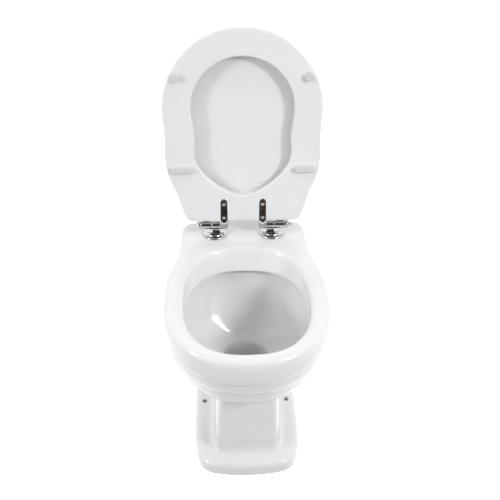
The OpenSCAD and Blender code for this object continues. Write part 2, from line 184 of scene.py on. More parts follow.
def cut(obj, cutters, edge=35):
    """Takes the cutters away from a piece for good, and removes them."""
    for cutter in cutters:
        modifier = obj.modifiers.new("cut", "BOOLEAN")
        modifier.operation = "DIFFERENCE"
        modifier.solver = "MANIFOLD"
        modifier.object = cutter
    bpy.context.view_layer.update()
    graph = bpy.context.evaluated_depsgraph_get()
    mesh = bpy.data.meshes.new_from_object(obj.evaluated_get(graph))
    obj.modifiers.clear()
    old = obj.data
    obj.data = mesh
    bpy.data.meshes.remove(old)
    bm = bmesh.new()
    bm.from_mesh(mesh)
    bmesh.ops.dissolve_degenerate(bm, dist=WELD, edges=bm.edges)
    bmesh.ops.triangulate(bm, faces=[f for f in bm.faces if len(f.verts) > 4])
    shade(bm, edge)
    bm.to_mesh(mesh)
    bm.free()
    for cutter in cutters:
        bpy.data.objects.remove(cutter)


def joined(objects, name):
    """One piece from several, keeping their materials."""
    bm = bmesh.new()
    materials = []
    for obj in objects:
        start = len(bm.faces)
        bm.from_mesh(obj.data)
        bm.faces.ensure_lookup_table()
        slots = list(obj.data.materials)
        for material in slots:
            if material not in materials:
                materials.append(material)
        for face in bm.faces[start:]:
            face.material_index = materials.index(slots[face.material_index])
    mesh = bpy.data.meshes.new(name)
    bm.to_mesh(mesh)
    bm.free()
    for material in materials:
        mesh.materials.append(material)
    for obj in objects:
        bpy.data.objects.remove(obj)
    return add_object(name, mesh)


# ---------------------------------------------------------------- outlines and places
def stadium(cx, y_from, y_to, half, steps=12):
    """A plate outline with both ends round, counter-clockwise."""
    points = [(cx + half * math.cos(a), y_to - half + half * math.sin(a))
              for a in [math.pi * i / steps for i in range(steps + 1)]]
    points += [(cx + half * math.cos(a), y_from + half + half * math.sin(a))
               for a in [math.pi + math.pi * i / steps for i in range(steps + 1)]]
    return points


def box_outline(x, half_w, y_from, y_to):
    return [(x - half_w, y_from), (x + half_w, y_from), (x + half_w, y_to), (x - half_w, y_to)]


def turned_across(outline):
    """The same outline, turned from along Y to along X."""
    return [(y, -x) for x, y in outline]


def arc(cx, cy, radius, angles):
    """Points round a circle, with 0 degrees at +Y and 90 degrees at +X."""
    return [(cx + radius * math.sin(math.radians(a)), cy + radius * math.cos(math.radians(a)))
            for a in angles]


CORNER_TRIM = 7.0


def densify(outline, pieces):
    """More points on each side of an outline, with its corners cut a little."""
    result = []
    n = len(outline)
    for k in range(n):
        ax, ay = outline[k]
        bx, by = outline[(k + 1) % n]
        size = math.hypot(bx - ax, by - ay)
        trim = min(CORNER_TRIM, size / 3)
        for i in range(pieces + 1):
            t = (trim + (size - 2 * trim) * i / pieces) / size
            result.append((ax + (bx - ax) * t, ay + (by - ay) * t))
    return result


def spline(points, steps):
    """A smooth curve through points, in steps pieces between each two."""
    result = []
    for i in range(len(points) - 1):
        a, b = points[max(i - 1, 0)], points[i]
        c, d = points[i + 1], points[min(i + 2, len(points) - 1)]
        for k in range(steps):
            t = k / steps
            result.append(tuple(
                (2 * b[m] + (c[m] - a[m]) * t + (2 * a[m] - 5 * b[m] + 4 * c[m] - d[m]) * t * t
                 + (3 * b[m] - a[m] - 3 * c[m] + d[m]) * t * t * t) / 2 for m in (0, 1)))
    return result + [points[-1]]


def resample(points, count):
    """The same curve with its points evenly spaced."""
    lengths = [0.0]
    for a, b in zip(points, points[1:]):
        lengths.append(lengths[-1] + math.hypot(b[0] - a[0], b[1] - a[1]))
    result, i = [], 0
    for k in range(count):
        want = lengths[-1] * k / (count - 1)
        while i < len(points) - 2 and lengths[i + 1] < want:
            i += 1
        span = lengths[i + 1] - lengths[i] or 1.0
        t = (want - lengths[i]) / span
        result.append((points[i][0] + (points[i + 1][0] - points[i][0]) * t,
                       points[i][1] + (points[i + 1][1] - points[i][1]) * t))
    return result


def side_on(x):
    """Stands an outline of (y, z) up on its side, extruded towards +X from x."""
    return Matrix(((0, 0, 1, x), (1, 0, 0, 0), (0, 1, 0, 0), (0, 0, 0, 1)))


def along_x(matrix, x):
    """Turns a lathe's axis to +X, starting at x."""
    return matrix @ Matrix.Translation((x, 0, 0)) @ Matrix.Rotation(math.pi / 2, 4, "Y")


def along_y(z):
    """Turns a lathe's axis to +Y, at a height."""
    return Matrix(((1, 0, 0, 0), (0, 0, 1, 0), (0, -1, 0, z), (0, 0, 0, 1)))


def mirror_of(side):
    return Matrix.Scale(-1, 4, (1, 0, 0)) if side < 0 else Matrix()


HINGE = Matrix.Translation(AXIS)
RAISED = HINGE @ Matrix.Rotation(-OPEN_ANGLE, 4, "X")
SIDES = ((-1, "left"), (1, "right"))


# ---------------------------------------------------------------- materials
TONE_SPAN = (0.35, 0.65)  # the span of the noise over which a tone goes from low to high


def principled(name, **values):
    material = bpy.data.materials.new(name)
    material.use_nodes = True
    tree = material.node_tree
    shader = tree.nodes["Principled BSDF"]
    for key, value in values.items():
        shader.inputs[key.replace("_", " ")].default_value = value
    return material, tree, shader


def add_noise(tree, scale, detail=3.0, rough=0.5):
    coords = tree.nodes.new("ShaderNodeTexCoord")
    noise = tree.nodes.new("ShaderNodeTexNoise")
    noise.inputs["Scale"].default_value = scale
    noise.inputs["Detail"].default_value = detail
    noise.inputs["Roughness"].default_value = rough
    tree.links.new(coords.outputs["Object"], noise.inputs["Vector"])
    return noise


def map_range(tree, source, from_span, to_span):
    node = tree.nodes.new("ShaderNodeMapRange")
    node.inputs["From Min"].default_value, node.inputs["From Max"].default_value = from_span
    node.inputs["To Min"].default_value, node.inputs["To Max"].default_value = to_span
    tree.links.new(source, node.inputs["Value"])
    return node.outputs["Result"]


def add_tone(tree, shader, noise, low, high):
    ramp = tree.nodes.new("ShaderNodeValToRGB")
    for element, place, colour in zip(ramp.color_ramp.elements, TONE_SPAN, (low, high)):
        element.position = place
        element.color = (*colour, 1)
    tree.links.new(noise.outputs["Fac"], ramp.inputs["Fac"])
    tree.links.new(ramp.outputs["Color"], shader.inputs["Base Color"])


def add_roughness(tree, shader, noise, low, high):
    rough = map_range(tree, noise.outputs["Fac"], (0.0, 1.0), (low, high))
    tree.links.new(rough, shader.inputs["Roughness"])


def add_bump(tree, shader, noise, strength, distance):
    bump = tree.nodes.new("ShaderNodeBump")
    bump.inputs["Strength"].default_value = strength
    bump.inputs["Distance"].default_value = distance
    tree.links.new(noise.outputs["Fac"], bump.inputs["Height"])
    tree.links.new(bump.outputs["Normal"], shader.inputs["Normal"])


def china_material():
    material, tree, shader = principled("vitreous_china", Specular_IOR_Level=0.5, IOR=1.52,
                                        Coat_Weight=0.5, Coat_Roughness=0.04, Coat_IOR=1.5)
    add_tone(tree, shader, add_noise(tree, 4.5, 2.0), (0.808, 0.818, 0.832), (0.834, 0.842, 0.852))
    add_roughness(tree, shader, add_noise(tree, 22.0), 0.10, 0.16)
    add_bump(tree, shader, add_noise(tree, 34.0, 2.0, 0.4), 0.06, 0.0006)
    return material


def lacquer_material():
    material, tree, shader = principled("white_lacquer", Specular_IOR_Level=0.45, IOR=1.48,
                                        Coat_Weight=0.25, Coat_Roughness=0.2, Coat_IOR=1.5)
    add_tone(tree, shader, add_noise(tree, 6.0, 2.0), (0.812, 0.818, 0.828), (0.834, 0.84, 0.848))
    add_roughness(tree, shader, add_noise(tree, 40.0), 0.26, 0.36)
    add_bump(tree, shader, add_noise(tree, 900.0, 2.0, 0.5), 0.05, 0.0002)
    return material


def rubber_material(name, low, high, rough, milky):
    material, tree, shader = principled(name, Specular_IOR_Level=0.4, IOR=1.43,
                                        Subsurface_Weight=0.35 if milky else 0.0,
                                        Subsurface_Scale=0.004,
                                        Transmission_Weight=0.25 if milky else 0.0)
    shader.inputs["Subsurface Radius"].default_value = (1.0, 0.9, 0.85)
    add_tone(tree, shader, add_noise(tree, 90.0, 3.0), low, high)
    add_roughness(tree, shader, add_noise(tree, 160.0), rough - 0.06, rough + 0.08)
    add_bump(tree, shader, add_noise(tree, 700.0), 0.12, 0.0002)
    return material


def metal_material(name, low, high, rough, scale, bump):
    material, tree, shader = principled(name, Metallic=1.0, Specular_IOR_Level=0.5)
    add_tone(tree, shader, add_noise(tree, scale * 0.3, 2.0), low, high)
    add_roughness(tree, shader, add_noise(tree, scale, 4.0), *rough)
    add_bump(tree, shader, add_noise(tree, scale * 5, 3.0), bump, 0.0001)
    return material


CHINA = china_material()
LACQUER = lacquer_material()
CLEAR = rubber_material("clear_buffer_rubber", (0.80, 0.825, 0.83), (0.86, 0.875, 0.87), 0.34, True)
BLACK = rubber_material("black_rubber", (0.02, 0.02, 0.022), (0.035, 0.035, 0.037), 0.6, False)
NYLON = rubber_material("white_nylon", (0.70, 0.70, 0.67), (0.76, 0.76, 0.73), 0.45, False)
CHROME = metal_material("polished_chrome", (0.66, 0.67, 0.68), (0.74, 0.745, 0.75),
                        (0.05, 0.11), 120.0, 0.02)
SCREW = metal_material("screw_steel", (0.60, 0.60, 0.60), (0.70, 0.70, 0.70), (0.2, 0.32), 240.0, 0.05)
DARK_NICKEL = metal_material("dark_nickel", (0.035, 0.03, 0.028), (0.07, 0.062, 0.056),
                             (0.14, 0.24), 160.0, 0.04)
BOLT = metal_material("bolt_steel", (0.42, 0.42, 0.42), (0.52, 0.52, 0.52), (0.28, 0.4), 200.0, 0.06)


def with_material(obj, material):
    obj.data.materials.clear()
    obj.data.materials.append(material)
    return obj


def settle(obj, slot, body, *nodes):
    """Hangs a piece on the body it rides on and hides the CAD nodes it stands for. The slot is not used.
    """
    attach(obj, body)
    if nodes:
        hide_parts(*nodes)


def finish_piece(obj, material, slot, body, *nodes):
    settle(with_material(obj, material), slot, body, *nodes)


# ---------------------------------------------------------------- the pan
DIRECTIONS = 176  # points round a section
CORNER_PULL, CORNER_SHIFT = 9.0, 0.16  # degrees, and a share of a quarter turn
WAIST_FROM, WAIST_TO, DECK_WAIST, DECK_REAR = -70.0, 75.0, 0.146, 180.0
BOW_SPAN = 0.35
WALL = 10.0
HALF_DEPTH = 330.0
FOOT_FRONT, FOOT_REAR, FOOT_HALF_W, FOOT_WIDEST, FOOT_BOW = -266.0, 135.0, 123.0, -20.0, 16.0
HOLLOW_H = 24.0
COLUMN_FRONT, COLUMN_REAR, COLUMN_WIDEST, COLUMN_POWER = -226.0, 112.0, -57.0, 8.5
RIM_HALF_W, RIM_WIDEST = 176.5, -153.0
SUMP_Y = -105.0
FLOOR_HOLE_X, FLOOR_HOLE_Y, FLOOR_HOLE_R = 100.5, -64.0, 6.2
BOSS_R, BOSS_FOOT, BOSS_TOP = FLOOR_HOLE_R + 9.0, 0.2, 27.0
DECK_HOLE_X, DECK_HOLE_R = 77.5, 8.0
INLET_Y, INLET_R = 255.0, 30.0
CISTERN_BOLT_X, CISTERN_BOLT_R = 75.0, 7.0
SHELF_HALF_W, SHELF_FRONT, SHELF_REAR, SHELF_T = 114.9, 144.0, 329.9, 34.0
SHELF_FRONT_R, SHELF_REAR_R = 6.0, 17.9
SHELF_SINK = 0.02  # keeps the top of the shelf from lying in the deck's own top
THROAT_IN, THROAT_OUT, THROAT_DEPTH = 34.0, 46.0, 45.0
DUCT_HALF_W, DUCT_FRONT, DUCT_REAR = 46.0, 60.0, 200.0
RIB_X, RIB_T = 35.0, 10.0
TRAP_R = 47.8
OUTLET_H, SPIGOT_R, SPIGOT_BORE, SPIGOT_FROM = 185.0, 51.0, 42.0, 140.0
PAST = 5.0  # how far a cutter goes past the china
FLOOR_CUT_TOP, DECK_CUT_LOW, SHELF_CUT_LOW = 45.0, DECK_UNDER - 10.0, RIM_H - 60.0


def ease(t):
    u = max(0.0, min(1.0, t))
    return u * u * (3 - 2 * u)


def directions():
    """Angles round a section, closer together where the corners turn."""
    quarter = DIRECTIONS // 4
    first = []
    for k in range(quarter):
        u = k / quarter
        pull = math.sin(2 * math.pi * (u - CORNER_SHIFT)) + math.sin(2 * math.pi * CORNER_SHIFT)
        first.append(90 * u + CORNER_PULL * pull)
    half = first + [180 - a for a in [90.0] + list(reversed(first[1:]))]
    return [math.radians(a) for a in half + [a + 180 for a in half]]


ANGLES = directions()


def section(row):
    """A level section: [height, front, rear, half width, widest place, nose power, tail power,
    waist, bow]. The powers go from 2 for an ellipse up to a rounded rectangle."""
    z, front, rear, half, widest, nose_power, tail_power, waist, bow = row
    ring = []
    for a in ANGLES:
        c, s = math.cos(a), math.sin(a)
        nose = s < 0
        reach = widest - front if nose else rear - widest
        power = nose_power if nose else tail_power
        r = (abs(c / half) ** power + abs(s / reach) ** power) ** (-1 / power)
        y = widest + r * s
        if nose:
            y += bow * (r * c / half) ** 2 * ease(-s / BOW_SPAN)
        narrow = 1 - waist * ease((y - WAIST_FROM) / (WAIST_TO - WAIST_FROM))
        ring.append((r * c * narrow, y, z))
    return ring


def foot_row(z, front_in, side_in, rear_in=None, bow=FOOT_BOW):
    """The foot's outline, set in at its front, sides and rear. The rear follows the sides."""
    rear = FOOT_REAR - (side_in if rear_in is None else rear_in)
    return (z, FOOT_FRONT + front_in, rear, FOOT_HALF_W - side_in, FOOT_WIDEST, 7, 8, 0, bow)


def column_row(z, half_w, out=0):
    return (z, COLUMN_FRONT - out, COLUMN_REAR + out, half_w + out, COLUMN_WIDEST,
            COLUMN_POWER, COLUMN_POWER, 0, 0)


def rim_row(drop, into):
    return (RIM_H - drop, into - HALF_DEPTH, DECK_REAR - into, RIM_HALF_W - into, RIM_WIDEST,
            2.08, 16, DECK_WAIST, 0)


def plain_row(z, front, rear, half, widest, nose=2.5, tail=2.5):
    return (z, front, rear, half, widest, nose, tail, 0, 0)


def well_row(z, half, reach):
    return plain_row(z, SUMP_Y - reach, SUMP_Y + reach, half, SUMP_Y, 2, 2)


def foot_rows():
    """From the roof of the hollow down to the floor, and up the outside to the foot's top."""
    hollow = [plain_row(HOLLOW_H, -205, 90, 60, COLUMN_WIDEST, 8, 8),
              foot_row(HOLLOW_H, 28, 26, 22, 14), foot_row(HOLLOW_H - 2, 24, 20, 18, 15),
              foot_row(0.4, WALL + 2, WALL + 4, WALL), foot_row(0, WALL, WALL + 1, WALL - 2)]
    outside = [(0, 1.6, 1.6), (0.6, 0.5, 0.5), (2, 0, 0), (10, 0, 0), (20, 0, 0), (24.5, 0.4, 1.2),
               (28.4, 1.2, 4.2), (31.2, 2.8, 9), (32.5, 5, 14), (33, 9, 20), (33, 18, 28)]
    return hollow + [foot_row(*row) for row in outside]


def column_rows():
    rows = [(33.2, 79, 12), (33.8, 79, 6), (36, 79, 2.6), (39, 79, 0.9), (44, 79), (80, 77),
            (120, 74.5), (165, 72), (200, 70.2)]
    return [column_row(*row) for row in rows]


def belly_rows():
    """From the column out to the bowl, over its fold and up to the rim's underside."""
    rows = [
        (212, -227, 112, 73, -60, 7.5, 8.5), (218, -229, 112, 78, -64, 6, 8),
        (224, -233, 110, 87, -85, 4.5, 8), (232, -246, 102, 102, -105, 3, 6),
        (240, -264, 84, 118, -120, 2.4, 4), (248, -279, 62, 132, -130, 2.1, 3),
        (255, -288, 54, 142, -136, 2, 2.6), (265, -294, 50, 151, -142, 2, 2.4),
        (280, -298, 46, 157, -149, 2, 2.3), (292, -300.4, 44, 159.4, -153, 2, 2.3),
        (295.5, -301.4, 44, 160, -154, 2, 2.3), (297.4, -303.2, 44, 161.2, -154, 2, 2.3),
        (300, -307, 44, 163, -155, 2, 2.3), (312, -313, 48, 166, -158, 2, 2.3),
        (326, -317, 52, 169, -160, 2, 2.3), (338, -319, 56, 170, -161, 2, 2.3),
        (344.6, -319.2, 60, 170, -161, 2, 2.3)]
    return [plain_row(*row) for row in rows]


def rim_rows():
    rows = [(60.4, 9), (60, 6), (58.4, 3.6), (55, 1.8), (48, 0.5), (35, 0), (18, 0), (9, 1.2),
            (5.2, 3.2), (2.6, 6.4), (0.9, 10.6), (0.1, 15.5), (0, 21)]
    return [rim_row(*row) for row in rows]


def inside_rows():
    """From the rim's inner edge, behind its lip and down the bowl to the ledge."""
    lip = [
        (0, -305, 66, 143, -120), (0.4, -302, 62, 139.5, -120), (2.4, -299.4, 59, 136.6, -120),
        (6, -297.4, 56.6, 134.8, -120), (14, -296, 52, 134, -121), (28, -294, 46, 133, -124),
        (43, -291.6, 36.5, 131.2, -128), (48, -291.2, 34.4, 131, -128),
        (50.6, -292.6, 35.6, 132.4, -128), (50, -296, 39, 136, -128), (46, -299, 43, 139, -128),
        (22, -303, 60, 143, -126), (19, -309, 68, 152, -135, 2.3), (21, -316, 75, 163, -145, 2.1),
        (46, -313, 60, 161, -145, 2.1)]
    bowl = [
        (340, -309, 46, 159, -148, 2.1, 2.4), (320, -306, 38, 157, -148, 2.1, 2.3),
        (300, -298, 28, 151, -144, 2.1, 2.3), (280, -287, 15, 145, -138, 2.1, 2.3),
        (262, -272, 1, 133, -128, 2.1, 2.4), (249, -251, -10, 113, -117, 2.2, 2.4),
        (237, -226, -19, 90, -106, 2.3, 2.5), (229, -206, -24, 73, -99), (222, -186, -29, 58, -95),
        (218.6, -170, -40, 52, -102, 2.3, 2.3), (214, -162.5, -47.5, 50.4, -105, 2.1, 2.1)]
    return [plain_row(RIM_H - drop, *row) for drop, *row in lip] + [plain_row(*row) for row in bowl]


def sump_rows():
    rows = [(200, 50, 53), (150, 47, 47), (100, 42, 42), (75, 39, 39), (58, 26, 26), (52, 12, 12)]
    return [well_row(*row) for row in rows]


def make_body():
    rows = foot_rows() + column_rows() + belly_rows() + rim_rows() + inside_rows() + sump_rows()
    verts, faces = loft([section(row) for row in rows], cap_start=True, cap_end=True)
    body = new_object("pan_china", verts, faces, smooth=180)
    smoother = body.modifiers.new("smooth", "SUBSURF")
    smoother.levels = smoother.render_levels = 1
    cutters = []
    for side in (-1, 1):
        cutters.append(cylinder_cutter("floor_hole", (side * FLOOR_HOLE_X, FLOOR_HOLE_Y),
                                       FLOOR_HOLE_R, -PAST, FLOOR_CUT_TOP))
        cutters.append(cylinder_cutter("deck_hole", (side * DECK_HOLE_X, AXIS.y),
                                       DECK_HOLE_R, DECK_CUT_LOW, RIM_H + PAST))
    cut(body, cutters)
    finish_piece(body, CHINA, "china", "pan", "pan")


def make_bosses():
    """Tubes round the foot's two holes, down to the floor."""
    for side in (-1, 1):
        boss = lathe("pan_floor_boss",
                     [(FLOOR_HOLE_R, BOSS_FOOT), (BOSS_R, BOSS_FOOT), (BOSS_R, BOSS_TOP),
                      (FLOOR_HOLE_R, BOSS_TOP), (FLOOR_HOLE_R, BOSS_FOOT)],
                     Matrix.Translation((side * FLOOR_HOLE_X, FLOOR_HOLE_Y, 0)), 64, caps=False)
        finish_piece(boss, CHINA, "china", "pan")


def make_shelf():
    outline = []
    corners = ((1, SHELF_REAR - SHELF_REAR_R, SHELF_REAR_R, 0),
               (-1, SHELF_REAR - SHELF_REAR_R, SHELF_REAR_R, 90),
               (-1, SHELF_FRONT + SHELF_FRONT_R, SHELF_FRONT_R, 180),
               (1, SHELF_FRONT + SHELF_FRONT_R, SHELF_FRONT_R, 270))
    for side, y, r, start in corners:
        for a in [math.radians(start + 90 * i / 8) for i in range(9)]:
            outline.append((side * (SHELF_HALF_W - r) + r * math.cos(a), y + r * math.sin(a)))
    shelf = rounded_prism("pan_shelf", outline, RIM_H - SHELF_T, RIM_H - SHELF_SINK, 5, Matrix(), 5)
    top = RIM_H + PAST
    cutters = [cylinder_cutter("inlet", (0, INLET_Y), INLET_R, SHELF_CUT_LOW, top, 96)]
    for side in (-1, 1):
        cutters.append(cylinder_cutter("cistern", (side * CISTERN_BOLT_X, INLET_Y),
                                       CISTERN_BOLT_R, SHELF_CUT_LOW, top))
    cut(shelf, cutters)
    finish_piece(shelf, CHINA, "china", "pan")


def make_flush_way():
    """The throat under the inlet, the duct that carries the water forward, and the ribs."""
    floor = RIM_H - THROAT_DEPTH
    throat = lathe("pan_flush_throat",
                   [(INLET_R, RIM_H - 12), (THROAT_IN, RIM_H - 14), (THROAT_IN, floor), (1, floor),
                    (1, DECK_UNDER), (THROAT_OUT - 4, DECK_UNDER), (THROAT_OUT, DECK_UNDER + 5),
                    (THROAT_OUT, RIM_H - 20), (INLET_R, RIM_H - 20)],
                   Matrix.Translation((0, INLET_Y, 0)), 96, caps=False)
    finish_piece(throat, CHINA, "china", "pan")
    duct_plan = densify(box_outline(0, DUCT_HALF_W, DUCT_FRONT, DUCT_REAR), 6)
    duct = rounded_prism("pan_flush_duct", duct_plan, DECK_UNDER, RIM_H - 30, 6, Matrix(), 5)
    finish_piece(duct, CHINA, "china", "pan")
    rib_side = densify([(72, 240), (170, 228), (298, 350), (298, 385), (72, 385)], 10)
    for side in (-1, 1):
        place = side_on(side * RIB_X - RIB_T / 2)
        rib = rounded_prism("pan_shelf_rib", rib_side, 0, RIB_T, 2.5, place, 3)
        finish_piece(rib, CHINA, "china", "pan")


def make_trap():
    """The outside of the trap, ending in the spigot."""
    path = [(-2, 88), (30, 150), (62, 205), (92, 222), (122, 205), (150, OUTLET_H)]
    centres = [Vector((0, y, z)) for y, z in spline(path, 6)[:-1]]
    side = Vector((1, 0, 0))
    rings = []
    for i, centre in enumerate(centres):
        ahead = centres[min(i + 1, len(centres) - 1)] - centres[max(i - 1, 0)]
        up = side.cross(ahead.normalized())
        rings.append([tuple(centre + side * u + up * v) for u, v in circle(TRAP_R, 72)])
    verts, faces = loft(rings, cap_start=True, cap_end=True)
    trap = new_object("pan_trap", verts, faces, smooth=60)
    finish_piece(trap, CHINA, "china", "pan")
    back = HALF_DEPTH
    spigot = lathe("pan_spigot",
                   [(0.5, SPIGOT_FROM), (SPIGOT_R - 5, SPIGOT_FROM), (SPIGOT_R - 1, SPIGOT_FROM + 2),
                    (SPIGOT_R, SPIGOT_FROM + 7), (SPIGOT_R, back - 8), (50.4, back - 3),
                    (48.6, back - 0.6), (46.5, back), (44, back - 0.8), (42.4, back - 3.5),
                    (SPIGOT_BORE, back - 8), (SPIGOT_BORE, SPIGOT_FROM + 12), (0.5, SPIGOT_FROM + 12)],
                   along_y(OUTLET_H), 96, caps=False)
    finish_piece(spigot, CHINA, "china", "pan")


def make_pan():
    make_body()
    make_bosses()
    make_shelf()
    make_flush_way()
    make_trap()


# ---------------------------------------------------------------- the seat and the lid
LOOP_POINTS = 181  # on half of an outline
NOSE_ANGLES = range(0, 87, 3)
SEAT_EDGE_R, EDGE_STEPS = 4.2, 6
DISH_IN, DISH_REAR, DISH_CORNER_R, DISH_LIP = 22.0, 80.0, 3.0, 1.2
LID_MIDDLE_Y, MIDDLE_SIZE = -250.0, 0.06
LID_UNDER_R, LID_TOP_R, LID_CROWN = 2.0, 5.0, 1.0
BUFFER_H = 10.6
FRONT_BUFFER, REAR_BUFFER, LID_BUFFER = (145, -351), (141, -143), (154, -325)


def seat_outline():
    """Half of the seat's outline, as (x, distance in front of the hinge)."""
    sides = spline([(178, 277), (175.4, 240), (174.5, 211), (176, 176), (173, 140), (164, 112),
                    (152, 83), (143.5, 53), (137, 34)], 10)
    corner = arc(115, 36, 21, range(102, 181, 6))
    return arc(0, 277, 178, NOSE_ANGLES) + sides + corner + [(0, 15)]


def hole_outline():
    sides = spline([(115, 279), (113, 256), (109.3, 232), (108.2, 209), (109.6, 184), (106, 158),
                    (92, 134), (66, 108), (31, 86), (0, 78)], 10)
    return arc(0, 279, 115, NOSE_ANGLES) + sides


def full_loop(half):
    """A closed outline from a half one: (x, -distance from the axis), starting at the tip."""
    half = resample(half, LOOP_POINTS)
    return [(x, -s) for x, s in half] + [(-x, -s) for x, s in reversed(half[1:-1])]


def blend_loops(a, b, t):
    return [(p[0] + (q[0] - p[0]) * t, p[1] + (q[1] - p[1]) * t) for p, q in zip(a, b)]


def make_seat():
    outer, inner = full_loop(seat_outline()), full_loop(hole_outline())
    r = SEAT_EDGE_R
    face_out, face_in = inset(outer, r), inset(inner, -r)
    rings = edge_rings(outer, SEAT_UNDER, 1, r, EDGE_STEPS)
    rings += reversed(edge_rings(outer, SEAT_TOP, -1, r, EDGE_STEPS))
    rings += [at_height(blend_loops(face_out, face_in, t), SEAT_TOP) for t in (0.25, 0.5, 0.75)]
    rings += edge_rings(inner, SEAT_TOP, -1, r, EDGE_STEPS, out=-1)
    rings += reversed(edge_rings(inner, SEAT_UNDER, 1, r, EDGE_STEPS, out=-1))
    rings += [at_height(blend_loops(face_out, face_in, t), SEAT_UNDER) for t in (0.75, 0.5, 0.25)]
    verts, faces = loft(rings, close_profile=True)
    seat = new_object("seat_ring", verts, faces, RAISED, 50)
    finish_piece(seat, LACQUER, "white_lacquer", "seat", "seat")


def dish_loop(outer):
    """The edge of the hollow under the lid, with its rear corners turned."""
    half = [(x, -y) for x, y in inset(outer, DISH_IN)[:LOOP_POINTS] if -y > DISH_REAR and x >= 0]
    end = half[-1][0] - 1
    for a in [math.radians(d) for d in (15, 40, 65, 90)]:
        half.append((end - 3.5 * (1 - math.cos(a)), DISH_REAR - 4 * math.sin(a)))
    return full_loop(half + [(0, DISH_REAR - 4)])


def make_lid():
    outer = inset(full_loop(seat_outline()), LID_INSET)
    dish = dish_loop(outer)
    middle = [(x * MIDDLE_SIZE, LID_MIDDLE_Y + (y - LID_MIDDLE_Y) * MIDDLE_SIZE) for x, y in dish]
    roof = LID_UNDER + LID_DISH
    lip = inset(dish, -DISH_LIP)
    rings = [at_height(blend_loops(middle, dish, t), roof) for t in (0, 0.3, 0.6, 0.9)]
    rings += edge_rings(dish, roof, -1, DISH_CORNER_R, 4)
    rings.append(at_height(dish, LID_UNDER + DISH_LIP))
    rings.append(at_height(lip, LID_UNDER))
    rings.append(at_height(blend_loops(lip, inset(outer, LID_UNDER_R), 0.5), LID_UNDER))
    rings += edge_rings(outer, LID_UNDER, 1, LID_UNDER_R, 4)
    brow = LID_TOP - LID_CROWN
    rings += reversed(edge_rings(outer, brow, -1, LID_TOP_R, EDGE_STEPS))
    top = inset(outer, LID_TOP_R)
    for t in (0.12, 0.3, 0.55, 0.8, 1.0):
        rise = 0.98 * LID_CROWN * math.sin(math.pi / 2 * t)
        rings.append(at_height(blend_loops(top, middle, t), brow + rise))
    verts, faces = loft(rings, cap_start=True, cap_end=True)
    lid = new_object("lid_panel", verts, faces, RAISED, 50)
    finish_piece(lid, LACQUER, "white_lacquer", "lid", "lid")


def buffer_place(side, place, height):
    return RAISED @ Matrix.Translation((side * place[0], place[1], height))


def make_buffers():
    for side, word in SIDES:
        pad = lathe("buffer_front_" + word,
                    [(0.5, 0.5), (6.2, 0.3), (7.4, 0), (8.4, 0.5), (9.1, 1.6), (9.5, 3),
                     (9.5, BUFFER_H - 0.6), (9.0, BUFFER_H)],
                    buffer_place(side, FRONT_BUFFER, SEAT_UNDER - BUFFER_H), 64, 50)
        finish_piece(pad, CLEAR, "clear_buffer", "seat", "seat_front_buffer_" + word)
        outline = turned_across(stadium(0, -24, 24, 7))
        pad = rounded_prism("buffer_rear_" + word, outline, 0, BUFFER_H, 1.6,
                            buffer_place(side, REAR_BUFFER, SEAT_UNDER - BUFFER_H), 4, 45)
        finish_piece(pad, CLEAR, "clear_buffer", "seat", "seat_rear_buffer_" + word)
        pad = lathe("buffer_lid_" + word, [(0.5, 0), (4.8, 0), (5.7, 0.5), (6, 1.3), (6, 2.7)],
                    buffer_place(side, LID_BUFFER, SEAT_TOP + 0.3), 48, 50)
        finish_piece(pad, CLEAR, "clear_buffer", "lid", "lid_buffer_" + word)


# ---------------------------------------------------------------- the hinges
STRAP_X, LID_STRAP_X, STRAP_HALF, STRAP_END, PLATE_EDGE = 45.0, 87.5, 9.4, 62.0, 0.7
POCKET_IN, POCKET_REAR = 1.5, -12.5
SCREWS_AT = (24.0, 57.0)
BARREL_R, BARREL_BORE, BARREL_END = 9.5, 4.1, 0.02
KNUCKLE_FROM, KNUCKLE_W = 36.0, 18.5
SLEEVE_FROM, SLEEVE_TO = 54.7, 73.3
LID_KNUCKLE_FROM, LID_KNUCKLE_TO = 73.5, 100.0
CAP_FROM, CAP_TO, CAP_R = 100.2, 105.5, 9.2
TIP_FROM, TIP_TO, TIP_R = 105.2, 108.0, 6.4
KNOB_FROM, KNOB_TO, KNOB_R = 110.7, 113.5, 3.2
SHAFT_FROM, SHAFT_LONG, SHAFT_R = 89.0, 22.0, 1.97
ROSETTE_X, PILLAR_X, BASE_Z, STEM_R = 68.0, 64.0, 407.2, 9.4


def barrel(name, start, end, radius, matrix, chamfer=0.7):
    """A turned length of the hinge with softened ends, from start to end along X."""
    size = end - start
    turns = [math.pi / 8 * i for i in range(5)]
    body = radius - chamfer
    profile = [(BARREL_BORE, BARREL_END)]
    profile += [(body + chamfer * math.sin(a), chamfer - chamfer * math.cos(a)) for a in turns]
    profile += [(body + chamfer * math.cos(a), size - chamfer + chamfer * math.sin(a)) for a in turns]
    profile.append((BARREL_BORE, size - BARREL_END))
    return with_material(lathe(name, profile, along_x(matrix, start), 72, 40), CHROME)


def strap_plate(x, face, back, matrix):
    """A plate with a round end and a shallow dark pocket in its face, which looks down."""
    outer = stadium(x, -STRAP_END - STRAP_HALF, 3.5, STRAP_HALF, 16)
    pocket = stadium(x, -STRAP_END - STRAP_HALF + POCKET_IN, POCKET_REAR, STRAP_HALF - POCKET_IN, 16)
    rings = [at_height(outer, back)]
    rings += reversed(edge_rings(outer, face, 1, PLATE_EDGE, 3))
    for d, drop in ((-0.3, 0.0), (-0.1, 0.06), (0.0, 0.2), (0.0, 0.36)):
        rings.append(at_height(inset(pocket, d), face + drop))
    verts, faces = loft(rings, cap_start=True, cap_end=True)
    plate = with_material(new_object("strap_plate", verts, faces, matrix, 40), CHROME)
    plate.data.materials.append(DARK_NICKEL)
    plate.data.polygons[len(plate.data.polygons) - 1].material_index = 1
    return plate


